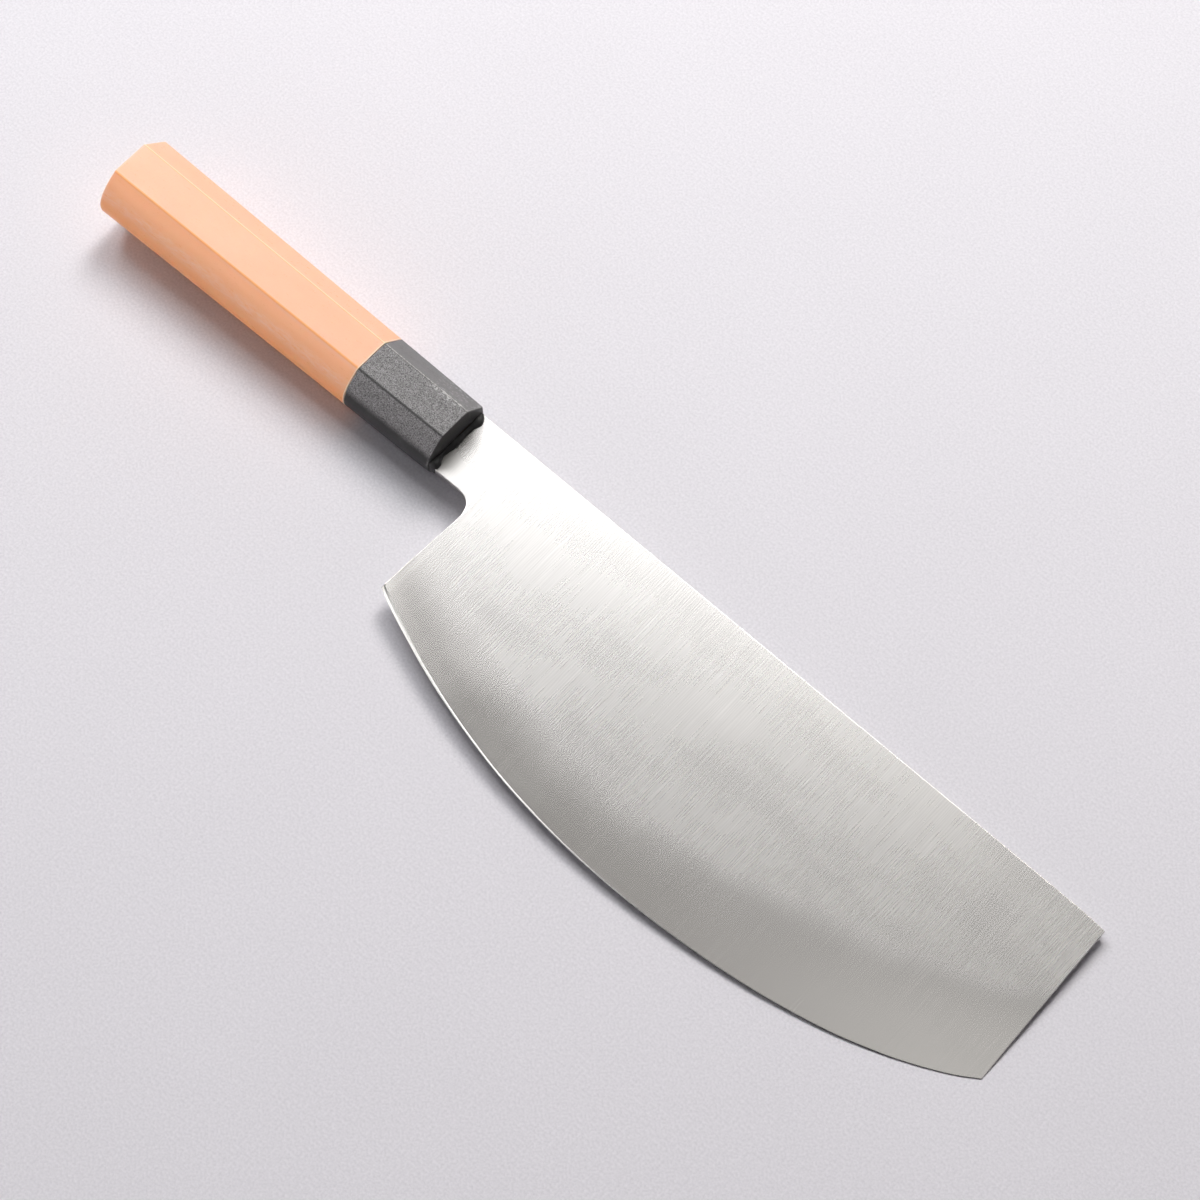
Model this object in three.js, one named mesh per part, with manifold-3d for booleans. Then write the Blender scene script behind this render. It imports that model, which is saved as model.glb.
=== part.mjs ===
// Round-bellied sushi knife with a moulded resin handle.
//
// Millimetres. The knife is drawn straight in its own axes and then laid down
// on its side the way it comes to rest on a table:
//   own x   along the handle axis, 0 at the front face of the ferrule, + to the tip
//   own y   up the blade, + to the spine, - to the cutting edge
//   own z   across the blade, 0 at the middle of its thickness
// In the finished frame +Z is up, the table is Z = 0, and the origin is the
// middle of the knife's footprint.

import * as THREE from 'three';
import { mergeVertices } from 'three/addons/utils/BufferGeometryUtils.js';
import Module from 'manifold-3d';

const wasm = await Module();
wasm.setup();

// ------------------------------------------------------------ driving sizes

// Handle: total length, and the part of it that is the dark front collar
const HANDLE_LENGTH = 137.4;
const FERRULE_LENGTH = 34.2;

// Handle section, at the butt and at the front face
const FLAT_HALF = { butt: 6.4, front: 5.55 };      // half width of the upper and lower flats
const HALF_THICK = { butt: 11.05, front: 10.65 };  // half thickness across the flats
const CHAMFER = { butt: 7.45, front: 6.2 };        // 45 degree facets on the spine side
const ROUND_REACH = { butt: 8.55, front: 7.35 };   // how far the edge side bows out past the flats
const ROUND_STEPS = 16;                            // facets along the bowed side
const BUTT_EASE = 1.2;                             // rounding of the butt end

// Blade outline
const SHOULDER_X = 0.3;          // shoulder stands just clear of the ferrule face
const SPINE_Y0 = 11.06;          // spine height at the ferrule
const SPINE_FALL = 0.00672;      // fall of the spine per millimetre of length
const TIP_DROP = 0.55;           // extra fall in the last 12 mm
const NECK_Y = -11.86;           // lower edge of the neck
const HEEL_FILLET_X = 11.0;      // heel radius starts here on the neck ...
const HEEL_FILLET_Y = -19.3;     // ... and ends here on the heel
const HEEL_CORNER = [16.4, -49.9];
const HEEL_TOP_X = 19.66;        // heel line carried up to the spine
const TIP_TOP_X = 240.2;
const TIP_CORNER = [241.75, -47.0];
// Cutting edge from heel to tip
const BELLY = [
  HEEL_CORNER, [20, -51.75], [30, -55.8], [45, -61.15], [60, -65.5], [80, -69.95],
  [100, -72.65], [120, -73.85], [140, -73.65], [160, -72.2], [180, -69.5],
  [200, -65.2], [215, -60.45], [225, -56.4], [235, -51.4], TIP_CORNER,
];
const BELLY_STEPS = 60;

// Blade thickness
const HALF_SPINE = 1.3;          // half thickness at the spine, by the neck
const TAPER_LENGTH = 0.0021;     // loss of half thickness per millimetre towards the tip
const TAPER_HEIGHT = 0.0035;     // and per millimetre down from the spine
const GRIND_WIDTH = 19.0;        // ground zone above the cutting edge
const BEVEL_WIDTH = 1.1;         // final bevel
const HALF_BEHIND_EDGE = 0.17;   // half thickness where the final bevel starts
const HALF_EDGE = 0.03;          // half thickness left at the very edge

// Tang, its bed and the parts that hold it
const TANG_LENGTH = 112.0;
const TANG_HALF_THICK = 1.15;
const TANG_TOP = { front: 7.2, end: 4.2 };
const TANG_BOTTOM = { front: -8.0, end: -5.0 };
const BED_WALL = 0.9;            // cured resin between the tang and the socket
const GAP = 0.3;                 // clearance between neighbouring pieces
const JOINT_GAP = 0.15;          // visible seam between grip and ferrule
const FRONT_WALL = 9.0;          // ferrule wall in front of the spigot
const SPIGOT_INSET = 3.0;        // step from the grip's outside to its spigot
const SOCKET_EXTRA = 4.0;        // socket depth past the tang

// Sealing bead round the neck where it meets the ferrule
const BEAD_LENGTH = 2.0;
const BEAD_HALF_THICK = 2.9;
const BEAD_END = 0.45;           // bead past the spine and past the neck's lower edge

// How the knife lies: nose down, and rolled towards its cutting edge
const REST_PITCH_DEG = 2.0;
const REST_ROLL_DEG = 2.95;

// ------------------------------------------------------------------ helpers

const lerp = (a, b, k) => a + (b - a) * k;

// closed mesh -> solid for joining and cutting
function solid(geometry) {
  const g = geometry.clone();
  for (const name of Object.keys(g.attributes)) if (name !== 'position') g.deleteAttribute(name);
  const m = mergeVertices(g, 1e-4);
  return new wasm.Manifold(new wasm.Mesh({
    numProp: 3,
    vertProperties: new Float32Array(m.attributes.position.array),
    triVerts: new Uint32Array(m.index.array),
  }));
}

// solid -> geometry for a mesh
function geometryOf(body) {
  const m = body.getMesh();
  const g = new THREE.BufferGeometry();
  const n = m.vertProperties.length / m.numProp;
  const p = new Float32Array(n * 3);
  for (let i = 0; i < n; i++) for (let c = 0; c < 3; c++) p[3 * i + c] = m.vertProperties[m.numProp * i + c];
  g.setAttribute('position', new THREE.BufferAttribute(p, 3));
  g.setIndex(new THREE.BufferAttribute(new Uint32Array(m.triVerts), 1));
  g.computeVertexNormals();
  return g;
}

// Points of the handle section at station x, as [y, z], drawn in by `inset`
function section(x, inset = 0) {
  const k = (x + HANDLE_LENGTH) / HANDLE_LENGTH;
  const a0 = lerp(FLAT_HALF.butt, FLAT_HALF.front, k);
  const c0 = lerp(CHAMFER.butt, CHAMFER.front, k);
  const h0 = lerp(HALF_THICK.butt, HALF_THICK.front, k);
  const w0 = lerp(ROUND_REACH.butt, ROUND_REACH.front, k);
  const h = h0 - inset;
  const far = a0 + c0 - inset;                 // flat on the spine side
  const c = c0 - inset * 0.5858;               // a 45 degree facet moved in square to itself
  const a = a0 - inset * 0.4142;
  const near = a0 + w0 - inset;                // furthest point of the bowed side
  const pts = [[a, h]];
  for (let i = 0; i <= ROUND_STEPS; i++) {     // over the bowed edge side, top to bottom
    const t = 1 - (2 * i) / ROUND_STEPS;
    const s = Math.sign(t) * Math.pow(Math.abs(t), 0.9);
    pts.push([-(a + (near - a) * (1 - s * s)), h * s]);
  }
  pts.push([a, -h], [far, -(h - c)], [far, h - c]);
  return pts;
}

// A bar with the handle section, following stations [{x, inset}] from back to front
function bar(stations) {
  const base = section(0);
  const shape = new THREE.Shape(base.map(([y, z]) => new THREE.Vector2(y, z)));
  const g = new THREE.ExtrudeGeometry(shape, { depth: stations.length - 1, steps: stations.length - 1, bevelEnabled: false });
  const rows = stations.map((s) => section(s.x, s.inset ?? 0));
  const key = (y, z) => `${y.toFixed(4)} ${z.toFixed(4)}`;
  const index = new Map(base.map(([y, z], i) => [key(y, z), i]));
  const p = g.attributes.position;
  for (let i = 0; i < p.count; i++) {
    const station = Math.round(p.getZ(i));
    const [y, z] = rows[station][index.get(key(p.getX(i), p.getY(i)))];
    p.setXYZ(i, stations[station].x, y, z);
  }
  return g;
}

// A flat plate with an outline in x and y, from -half to +half in z
function plate(outline, half) {
  const shape = new THREE.Shape(outline.map(([x, y]) => new THREE.Vector2(x, y)));
  const g = new THREE.ExtrudeGeometry(shape, { depth: 2 * half, steps: 1, bevelEnabled: false });
  g.translate(0, 0, -half);
  return g;
}

// -------------------------------------------------------------------- blade

const spineY = (x) => SPINE_Y0 - SPINE_FALL * x - TIP_DROP * Math.pow(Math.max(0, (x - (TIP_TOP_X - 12)) / 12), 2);
// flat upper part of either side of the blade
const flatZ = (x, y) => HALF_SPINE - TAPER_LENGTH * x - TAPER_HEIGHT * (SPINE_Y0 - y);

function bladeSheet() {
  const belly = new THREE.SplineCurve(BELLY.map(([x, y]) => new THREE.Vector2(x, y)));
  const rows = 4;      // spine, heel radius, grind line, bevel line, edge
  const g = new THREE.BoxGeometry(1, 1, 1, BELLY_STEPS, rows, 1);
  const p = g.attributes.position;
  for (let i = 0; i < p.count; i++) {
    const u = Math.round((p.getX(i) + 0.5) * BELLY_STEPS) / BELLY_STEPS;
    const row = Math.round((0.5 - p.getY(i)) * rows);
    const side = p.getZ(i) > 0 ? 1 : -1;
    const e = belly.getPointAt(u);
    const sx = lerp(HEEL_TOP_X, TIP_TOP_X, u);
    const s = new THREE.Vector2(sx, spineY(sx));
    const span = s.distanceTo(e);
    const radiusRow = (spineY(HEEL_TOP_X) - HEEL_FILLET_Y) / (spineY(HEEL_TOP_X) - HEEL_CORNER[1]);
    const v = [0, Math.min(radiusRow, 1 - (GRIND_WIDTH + 4) / span), 1 - GRIND_WIDTH / span, 1 - BEVEL_WIDTH / span, 1][row];
    const x = lerp(s.x, e.x, u === 0 && row === 1 ? radiusRow : v);
    const y = lerp(s.y, e.y, u === 0 && row === 1 ? radiusRow : v);
    const z = row <= 2 ? flatZ(x, y) : row === 3 ? HALF_BEHIND_EDGE : HALF_EDGE;
    p.setXYZ(i, x, y, side * z);
  }
  return solid(g);
}

// Neck between the shoulder and the heel line, with the heel radius
function neckSheet() {
  const s = new THREE.Vector2(HEEL_TOP_X, spineY(HEEL_TOP_X));
  const radiusRow = (s.y - HEEL_FILLET_Y) / (s.y - HEEL_CORNER[1]);
  const end = new THREE.Vector2(lerp(s.x, HEEL_CORNER[0], radiusRow), lerp(s.y, HEEL_CORNER[1], radiusRow));
  const fillet = new THREE.QuadraticBezierCurve(
    new THREE.Vector2(HEEL_FILLET_X, NECK_Y), new THREE.Vector2(end.x + 0.42, NECK_Y), end);
  const lower = [[SHOULDER_X, NECK_Y], ...fillet.getPoints(10).map((q) => [q.x, q.y])];
  const n = lower.length - 1;
  const g = new THREE.BoxGeometry(1, 1, 1, n, 1, 1);
  const p = g.attributes.position;
  for (let i = 0; i < p.count; i++) {
    const k = Math.round((p.getX(i) + 0.5) * n);
    const side = p.getZ(i) > 0 ? 1 : -1;
    let x, y;
    if (p.getY(i) < 0) [x, y] = lower[k];
    else {
      x = k === n ? HEEL_TOP_X : lerp(SHOULDER_X, HEEL_TOP_X, k / n);
      y = spineY(x);
    }
    p.setXYZ(i, x, y, side * flatZ(x, y));
  }
  return solid(g);
}

// Tang outline grown sideways by `grow`, from x0 back to x1
function tangOutline(grow, x0, x1) {
  const at = (x) => {
    const k = -x / TANG_LENGTH;
    return [lerp(TANG_BOTTOM.front, TANG_BOTTOM.end, k) - grow, lerp(TANG_TOP.front, TANG_TOP.end, k) + grow];
  };
  const [b0, t0] = at(x0);
  const [b1, t1] = at(x1 + 6);
  const [b2, t2] = at(x1);
  return [[x0, b0], [x0, t0], [x1 + 6, t1], [x1, t2 - 3], [x1, b2 + 1.5], [x1 + 3, b1]].reverse();
}

const blade = bladeSheet()
  .add(neckSheet())
  .add(solid(plate(tangOutline(0, 3, -TANG_LENGTH), TANG_HALF_THICK)));

// ------------------------------------------------------- ferrule, grip, bed

const bedOutside = (grow, x0, x1) => plate(tangOutline(BED_WALL + grow, x0, x1), TANG_HALF_THICK + BED_WALL + grow);

const spigotBack = -FERRULE_LENGTH;
const spigotFront = -FRONT_WALL - GAP;

const ferrule = solid(bar([{ x: -FERRULE_LENGTH + JOINT_GAP }, { x: 0 }]))
  .subtract(solid(bar([{ x: -FERRULE_LENGTH - 1, inset: SPIGOT_INSET - GAP }, { x: -FRONT_WALL, inset: SPIGOT_INSET - GAP }])))
  .subtract(solid(bedOutside(GAP, 2, -FERRULE_LENGTH - 2)));

const easing = [0, 0.3, 0.62, 1].map((t) => {
  const angle = (t * Math.PI) / 2;
  return { x: -HANDLE_LENGTH + BUTT_EASE * (1 - Math.cos(angle)), inset: BUTT_EASE * (1 - Math.sin(angle)) };
});
const grip = solid(bar([...easing, { x: spigotBack }]))
  .add(solid(bar([{ x: spigotBack - 4, inset: SPIGOT_INSET }, { x: spigotFront, inset: SPIGOT_INSET }])))
  .subtract(solid(bedOutside(GAP, spigotFront + 3, -TANG_LENGTH - SOCKET_EXTRA)));

const bed = solid(bedOutside(0, -0.6, -TANG_LENGTH - SOCKET_EXTRA + 1))
  .subtract(solid(plate(tangOutline(GAP, 3, -TANG_LENGTH - GAP), TANG_HALF_THICK + GAP)));

// ------------------------------------------------------------- sealing bead

function beadRing(grow) {
  const top = spineY(0) + BEAD_END;
  const bottom = NECK_Y - BEAD_END;
  const mid = (top + bottom) / 2;
  const half = (top - bottom) / 2;
  const pts = [];
  const steps = 32;
  for (let i = 0; i < steps; i++) {
    const t = (2 * Math.PI * i) / steps;
    const c = Math.cos(t);
    const s = Math.sin(t);
    const e = 0.32;
    pts.push(new THREE.Vector2(
      mid + (half - grow * 0.25) * Math.sign(c) * Math.pow(Math.abs(c), e),
      (BEAD_HALF_THICK - grow) * Math.sign(s) * Math.pow(Math.abs(s), 0.6)));
  }
  return pts;
}

function beadBody() {
  const g = new THREE.ExtrudeGeometry(new THREE.Shape(beadRing(0)), { depth: 1, steps: 1, bevelEnabled: false });
  const p = g.attributes.position;
  const inner = beadRing(1.0);
  const outer = beadRing(0);
  const key = (v) => `${v.x.toFixed(4)} ${v.y.toFixed(4)}`;
  const index = new Map(outer.map((v, i) => [key(v), i]));
  for (let i = 0; i < p.count; i++) {
    const id = index.get(key({ x: p.getX(i), y: p.getY(i) }));
    const front = p.getZ(i) > 0.5;
    const v = front ? inner[id] : outer[id];
    p.setXYZ(i, front ? BEAD_LENGTH : 0.1, v.x, v.y);
  }
  return solid(g);
}

const neckClear = plate([
  [-1, NECK_Y - 0.12], [BEAD_LENGTH + 1, NECK_Y - 0.12], [BEAD_LENGTH + 1, spineY(0) + 0.12], [-1, spineY(0) + 0.12],
], HALF_SPINE + 0.12);
const bead = beadBody().subtract(solid(neckClear));

// ----------------------------------------------------------------- assembly

const steel = new THREE.MeshStandardMaterial({ color: 0xc4c2be, roughness: 0.32, metalness: 1.0 });
const gripResin = new THREE.MeshStandardMaterial({ color: 0xeeb48a, roughness: 0.55, metalness: 0.0 });
const collarResin = new THREE.MeshStandardMaterial({ color: 0x38383a, roughness: 0.7, metalness: 0.0 });
const sealResin = new THREE.MeshStandardMaterial({ color: 0x1c1c1c, roughness: 0.45, metalness: 0.0 });
const bedResin = new THREE.MeshStandardMaterial({ color: 0xb59a63, roughness: 0.5, metalness: 0.0 });

const knife = new THREE.Group();
for (const [name, body, material] of [
  ['blade', blade, steel],
  ['ferrule', ferrule, collarResin],
  ['handle_grip', grip, gripResin],
  ['tang_bed', bed, bedResin],
  ['neck_seal', bead, sealResin],
]) {
  const mesh = new THREE.Mesh(geometryOf(body), material);
  mesh.name = name;
  knife.add(mesh);
}

// laid down: it touches the table with the front of the ferrule and the corner
// of the tip, and the middle of its footprint is the origin
knife.rotation.set(THREE.MathUtils.degToRad(REST_ROLL_DEG), THREE.MathUtils.degToRad(REST_PITCH_DEG), 0, 'ZYX');
knife.updateMatrixWorld(true);
const footprint = new THREE.Box3().setFromObject(knife, true);
knife.position.set(
  -(footprint.min.x + footprint.max.x) / 2,
  -(footprint.min.y + footprint.max.y) / 2,
  -footprint.min.z);

const sushiKnife = new THREE.Group();
sushiKnife.name = 'sushi_knife';
sushiKnife.add(knife);
sushiKnife.updateMatrixWorld(true);

export default sushiKnife;
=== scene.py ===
import math

import bmesh
import bpy
import numpy as np
from mathutils import Matrix, Vector


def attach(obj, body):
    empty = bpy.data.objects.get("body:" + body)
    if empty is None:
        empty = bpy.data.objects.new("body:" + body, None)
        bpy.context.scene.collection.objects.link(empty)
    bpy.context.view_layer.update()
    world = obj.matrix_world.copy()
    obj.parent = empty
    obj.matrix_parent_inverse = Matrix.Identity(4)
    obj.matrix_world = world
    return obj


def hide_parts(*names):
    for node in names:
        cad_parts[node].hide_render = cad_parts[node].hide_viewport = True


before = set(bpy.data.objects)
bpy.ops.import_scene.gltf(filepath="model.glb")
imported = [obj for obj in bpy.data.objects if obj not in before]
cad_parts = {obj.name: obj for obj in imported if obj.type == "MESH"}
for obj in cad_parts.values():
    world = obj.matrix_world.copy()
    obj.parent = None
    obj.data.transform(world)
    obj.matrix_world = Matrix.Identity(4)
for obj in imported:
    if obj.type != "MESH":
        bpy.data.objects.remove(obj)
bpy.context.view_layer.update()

# ---------------------------------------------------------------------------
# The knife's own axes, in millimetres: x along the handle to the tip, y up to
# the spine, z across the blade. It lies pitched and rolled on the table.
# ---------------------------------------------------------------------------
PITCH, ROLL = math.radians(2.0), math.radians(2.95)
PLACE = np.array([-51.92457904, 29.9181114, 10.96711434])
TURN = np.array(Matrix.Rotation(PITCH, 3, "Y") @ Matrix.Rotation(ROLL, 3, "X"))


def to_row(points):
    """Own axes in mm -> the row frame in metres."""
    return (np.asarray(points, float) @ TURN.T + PLACE) / 1000.0


def lerp(a, b, k):
    return a + (b - a) * k


def smooth(e0, e1, x):
    t = np.clip((np.asarray(x, float) - e0) / (e1 - e0), 0.0, 1.0)
    return t * t * (3 - 2 * t)


# ---------------------------------------------------------------------------
# Mesh helpers
# ---------------------------------------------------------------------------
def make_object(name, verts, faces, smooth_faces=True, sharp_deg=38.0, sharp_pairs=(), attrs=None, chart=None):
    """A mesh from own-axis points. Edges over sharp_deg and the listed pairs stay crisp."""
    me = bpy.data.meshes.new(name)
    me.from_pydata([tuple(p) for p in to_row(verts)], [], [tuple(int(i) for i in f) for f in faces])
    if chart is not None:
        layer = me.uv_layers.new(name="OFBake")
        layer.data.foreach_set("uv", np.array([c for f in chart for c in f], np.float32).reshape(-1))
    for key, values in (attrs or {}).items():
        a = me.attributes.new(key, "FLOAT", "POINT")
        a.data.foreach_set("value", np.asarray(values, np.float32))
    bm = bmesh.new()
    bm.from_mesh(me)
    bmesh.ops.recalc_face_normals(bm, faces=bm.faces[:])
    pairs = {tuple(sorted((int(a), int(b)))) for a, b in sharp_pairs}
    limit = math.radians(sharp_deg)
    for f in bm.faces:
        f.smooth = smooth_faces
    for e in bm.edges:
        key = tuple(sorted((e.verts[0].index, e.verts[1].index)))
        if key in pairs or (len(e.link_faces) == 2 and e.calc_face_angle(0.0) > limit):
            e.smooth = False
    bm.to_mesh(me)
    bm.free()
    me.update()
    ob = bpy.data.objects.new(name, me)
    bpy.context.scene.collection.objects.link(ob)
    return ob


def polyline_distance(p, line):
    """Distance of each 2-D point to a polyline."""
    p = np.asarray(p, float)
    best = np.full(len(p), 1e9)
    for a, b in zip(line[:-1], line[1:]):
        ab = b - a
        t = np.clip(((p - a) @ ab) / max(ab @ ab, 1e-12), 0, 1)
        best = np.minimum(best, np.linalg.norm(p - (a + t[:, None] * ab), axis=1))
    return best


# ---------------------------------------------------------------------------
# Blade
# ---------------------------------------------------------------------------
SHOULDER_X, SPINE_Y0, SPINE_FALL, TIP_DROP = 0.3, 11.06, 0.00672, 0.55
NECK_Y, HEEL_FILLET_X, HEEL_FILLET_Y = -11.86, 11.0, -19.3
HEEL_CORNER, HEEL_TOP_X = (16.4, -49.9), 19.66
TIP_TOP_X, TIP_CORNER = 240.2, (241.75, -47.0)
BELLY = [HEEL_CORNER, (20, -51.75), (30, -55.8), (45, -61.15), (60, -65.5), (80, -69.95), (100, -72.65),
         (120, -73.85), (140, -73.65), (160, -72.2), (180, -69.5), (200, -65.2), (215, -60.45), (225, -56.4),
         (235, -51.4), TIP_CORNER]
HALF_SPINE, TAPER_LENGTH, TAPER_HEIGHT = 1.3, 0.0021, 0.0035
GRIND_WIDTH = ((0, 17.8), (0.2, 18.6), (0.45, 20.6), (0.6, 23.0), (0.72, 25.6), (0.88, 25.4), (1, 24.0))   # along the edge
GRIND_LEAD = ((0, 8.0), (0.15, 11.0), (1, 11.0))    # the flat starts to fall this far above the ground zone
GRIND_CREASE = ((0, 0.0), (0.1, 0.02), (0.3, 0.09), (0.5, 0.16), (0.7, 0.22), (1, 0.22))    # how sharply the ground zone sets in
HALF_EDGE, BEVEL_SLOPE = 0.03, (0.25, 0.34)
TANG_LENGTH, TANG_HALF = 112.0, 1.15
TANG_TOP, TANG_BOTTOM = (7.2, 4.2), (-8.0, -5.0)


def spine_y(x):
    x = np.asarray(x, float)
    return SPINE_Y0 - SPINE_FALL * x - TIP_DROP * np.clip((x - (TIP_TOP_X - 12)) / 12, 0, None) ** 2


def flat_z(x, y):
    return HALF_SPINE - TAPER_LENGTH * np.clip(x, 0, None) - TAPER_HEIGHT * (SPINE_Y0 - y)


def belly_line(per=40):
    pts = np.array(BELLY, float)
    n, out = len(pts), []
    for i in range(n - 1):
        p0, p1, p2, p3 = pts[max(i - 1, 0)], pts[i], pts[i + 1], pts[min(i + 2, n - 1)]
        v0, v1 = (p2 - p0) / 2, (p3 - p1) / 2
        for j in range(per):
            t = j / per
            out.append((2 * p1 - 2 * p2 + v0 + v1) * t**3 + (-3 * p1 + 3 * p2 - 2 * v0 - v1) * t**2 + v0 * t + p1)
    return np.array(out + [pts[-1]])


def ground(width, lead, crease):
    """Slope of the ground zone by distance from the edge, and what is left to fall from there on."""
    s = np.linspace(0.0, width + lead, 500)
    w = 0.22 * smooth(width + lead, width, s) + crease * smooth(width + 1.2, width - 1.6, s)
    w += 1.0 * (1 - s / width).clip(0, 1) ** 0.9 + 0.25 * smooth(6.0, 1.0, s)
    area = np.concatenate([[0], np.cumsum((w[1:] + w[:-1]) / 2 * np.diff(s))])
    return s, area[-1] - area


def build_blade():
    belly = belly_line()
    step = np.linalg.norm(np.diff(belly, axis=0), axis=1)
    arc = np.concatenate([[0], np.cumsum(step)])
    total = arc[-1]
    ends = [0.0, 0.015, 0.045, 0.09, 0.14, 0.2, 0.23, 0.3, 0.6, 1.1]
    s_cols = np.array(ends + list(np.linspace(1.9, total - 1.9, 196)) + [total - e for e in reversed(ends)])
    edge = np.stack([np.interp(s_cols, arc, belly[:, 0]), np.interp(s_cols, arc, belly[:, 1])], 1)
    edge[:, 1] += 0.004
    ahead = np.stack([np.interp(np.minimum(s_cols + 0.4, total), arc, belly[:, 0]), np.interp(np.minimum(s_cols + 0.4, total), arc, belly[:, 1])], 1)
    behind = np.stack([np.interp(np.maximum(s_cols - 0.4, 0), arc, belly[:, 0]), np.interp(np.maximum(s_cols - 0.4, 0), arc, belly[:, 1])], 1)
    tangent = ahead - behind
    tangent /= np.linalg.norm(tangent, axis=1)[:, None]
    inward = np.stack([-tangent[:, 1], tangent[:, 0]], 1)
    u = s_cols / total
    top_x = lerp(HEEL_TOP_X, TIP_TOP_X, u)
    top = np.stack([top_x, spine_y(top_x)], 1)
    run = top - edge
    span = np.linalg.norm(run, axis=1)
    run /= span[:, None]
    slant = (run * inward).sum(1).clip(0.5, 1)

    # width of the honed bevel along the edge
    bevel = np.interp(u, [0, 0.04, 0.12, 0.22, 0.34, 0.46, 0.57, 0.7, 1], [1.3, 1.2, 0.8, 0.55, 0.5, 0.45, 0.38, 0.28, 0.22])
    width = np.interp(u, *np.array(GRIND_WIDTH).T)
    lead = np.interp(u, *np.array(GRIND_LEAD).T)
    crease = np.interp(u, *np.array(GRIND_CREASE).T)
    zone_top = width + lead

    # rows, from the spine down to the edge
    ease_rows = [0.0, 0.015, 0.045, 0.09, 0.14, 0.2, 0.23, 0.3]           # mm from the spine
    heel_len = np.linalg.norm(np.array(HEEL_CORNER) - top[0])
    fillet_at = (top[0, 1] - HEEL_FILLET_Y) / (top[0, 1] - HEEL_CORNER[1]) * heel_len    # along the heel line
    neck_h = spine_y(SHOULDER_X) - NECK_Y
    ta = (spine_y(SHOULDER_X) - TANG_TOP[0]) / neck_h
    tb = (spine_y(SHOULDER_X) - TANG_BOTTOM[0]) / neck_h
    upper = sorted([0.05, 0.11, ta, 0.25, 0.335, 0.42, 0.5, 0.58, 0.665, 0.75, tb, 0.9, 0.955])
    low_ease = [0.3, 0.23, 0.2, 0.14, 0.09, 0.045, 0.015, 0.0]            # mm above the neck's lower edge
    lower = [0.02, 0.08, 0.3, 0.53, 0.76, 1.0]
    above = [0.78, 0.56, 0.36, 0.2, 0.11, 0.05, 0.0]           # shares of the lead
    below = [0.5, 1.0, 1.5, 2.1]
    ground_rows = len(above) + len(below) + 13
    bevel_rows = [1.22, 1.04, 1.0, 0.96, 0.55, 0.51, 0.47, 0.05, 0.0]

    def line_rows(length):
        """Distances from the spine to the lower edge for the rows above the heel radius."""
        body = [0.3 + t * (length - 0.6) for t in upper]
        return np.array(ease_rows + body + [length - e for e in low_ease])

    n_up = len(ease_rows) + len(upper) + len(low_ease)
    i_ta, i_tb = len(ease_rows) + upper.index(ta), len(ease_rows) + upper.index(tb)
    n_rows = n_up + len(lower) + ground_rows + len(bevel_rows)
    n_cols = len(s_cols)
    pts = np.zeros((n_cols, n_rows, 2))
    dist = np.full((n_cols, n_rows), 99.0)
    frac = np.full((n_cols, n_rows), 9.0)
    for c in range(n_cols):
        top_of_zone = span[c] - zone_top[c] / slant[c]
        share = fillet_at / (span[0] - zone_top[0] / slant[0])
        up = line_rows(share * top_of_zone)
        rows = list(up) + [lerp(up[-1], top_of_zone, t) for t in lower]
        d = [99.0] * len(rows)
        f = [9.0] * len(rows)
        for g in [width[c] + a * lead[c] for a in above] + [width[c] - a for a in below] + list(np.linspace(width[c] - 2.9, 1.95, 13)):
            rows.append(span[c] - g / slant[c])
            d.append(g)
            f.append(9.0)
        for b in bevel_rows:
            rows.append(span[c] - b * bevel[c] / slant[c])
            d.append(b * bevel[c])
            f.append(b)
        rows = np.array(rows)
        pts[c] = top[c] - run[c] * rows[:, None]
        dist[c], frac[c] = d, f

    # thickness of the ground zone and the bevel
    x, y = pts[..., 0], pts[..., 1]
    z = flat_z(x, y)
    at_bevel = HALF_EDGE + bevel * (BEVEL_SLOPE[0] + BEVEL_SLOPE[1]) / 2
    for c in range(n_cols):
        s_g, left = ground(width[c], lead[c], crease[c])
        share = np.interp(dist[c], s_g, left) / np.interp(bevel[c], s_g, left)
        z[c] -= (z[c] - at_bevel[c]) * np.where(dist[c] > zone_top[c], 0, share)
    in_bevel = frac <= 1.0
    zb = HALF_EDGE + bevel[:, None] * np.where(
        frac <= 0.51, frac * BEVEL_SLOPE[1], 0.51 * BEVEL_SLOPE[1] + (frac - 0.51) * BEVEL_SLOPE[0])
    scale = (at_bevel / (HALF_EDGE + bevel * (0.51 * BEVEL_SLOPE[1] + 0.49 * BEVEL_SLOPE[0])))[:, None]
    z = np.where(in_bevel, zb * scale, z)

    verts = [tuple(v) for v in np.stack([x, y, z], -1).reshape(-1, 3)]
    d_edge = list(dist.reshape(-1))
    d_in = list(((width[:, None] - dist) / width[:, None]).reshape(-1))      # above 0 inside the ground zone
    d_frac = list(frac.reshape(-1))
    faces = []
    at = lambda c, r: c * n_rows + r
    for c in range(n_cols - 1):
        for r in range(n_rows - 1):
            faces.append((at(c, r), at(c, r + 1), at(c + 1, r + 1), at(c + 1, r)))

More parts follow.
